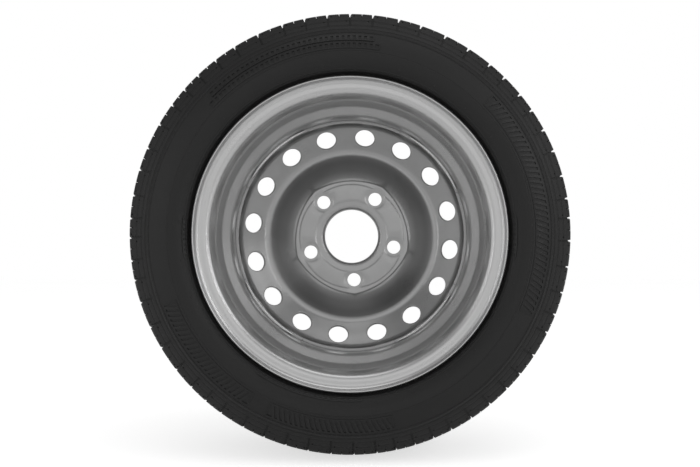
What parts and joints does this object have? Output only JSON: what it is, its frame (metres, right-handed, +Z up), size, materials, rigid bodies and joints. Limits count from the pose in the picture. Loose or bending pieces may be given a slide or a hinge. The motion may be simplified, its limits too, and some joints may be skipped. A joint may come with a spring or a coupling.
{
  "type": "wheel and tyre assembly",
  "caption": "Pressed steel car wheel with a road tyre mounted on it and a snap-in valve, for bolting to a hub.",
  "frame": {"origin": "on the axle line, midway between the two flanges of the rim, which is the middle of the tyre's box", "axes": "+Y along the wheel's axis towards the outer side; the hub side faces -Y; +Z up"},
  "size_m": [0.525, 0.1966, 0.5248],
  "materials": {
    "tyre_rubber": "matt black",
    "wheel_paint": "satin silver paint",
    "valve_rubber": "matt black",
    "brass": "satin",
    "white_seal": "matt",
    "spring_steel": "bright",
    "cap_plastic": "satin black"
  },
  "bodies": {
    "wheel": {"tyre": "tyre_rubber", "rim": "wheel_paint", "wheel_disc": "wheel_paint", "weld_beads": "wheel_paint", "valve_body": "valve_rubber", "valve_stem": "brass", "core_plug": "brass", "core_barrel": "brass", "core_gasket": "white_seal", "core_spring": "spring_steel"},
    "cap_washer": {"cap_seal": "valve_rubber"},
    "cap": {"valve_cap": "cap_plastic"},
    "pin": {"core_pin": "brass", "pin_seal": "valve_rubber"}
  },
  "joints": [
    {"name": "cap_lift", "type": "slide", "parent": "wheel", "child": "cap_washer", "axis": [0.2361, 0.6865, 0.6877], "range_m": [0, 0.00873]},
    {"name": "cap_turn", "type": "hinge", "parent": "cap_washer", "child": "cap", "pos_m": [-0.04222, 0.06158, -0.12297], "axis": [0.2361, 0.6865, 0.6877], "range_deg": [0, 3960]},
    {"name": "pin_press", "type": "slide", "parent": "wheel", "child": "pin", "axis": [-0.2361, -0.6865, -0.6877], "range_m": [0, 0.0015], "stiffness_N_per_m": 800, "springref_m": -0.002, "deforming": ["core_spring"]}
  ],
  "couplings": [
    {"joint": "cap_turn", "follows": "cap_lift", "rad_per_m": 7913.3}
  ]
}
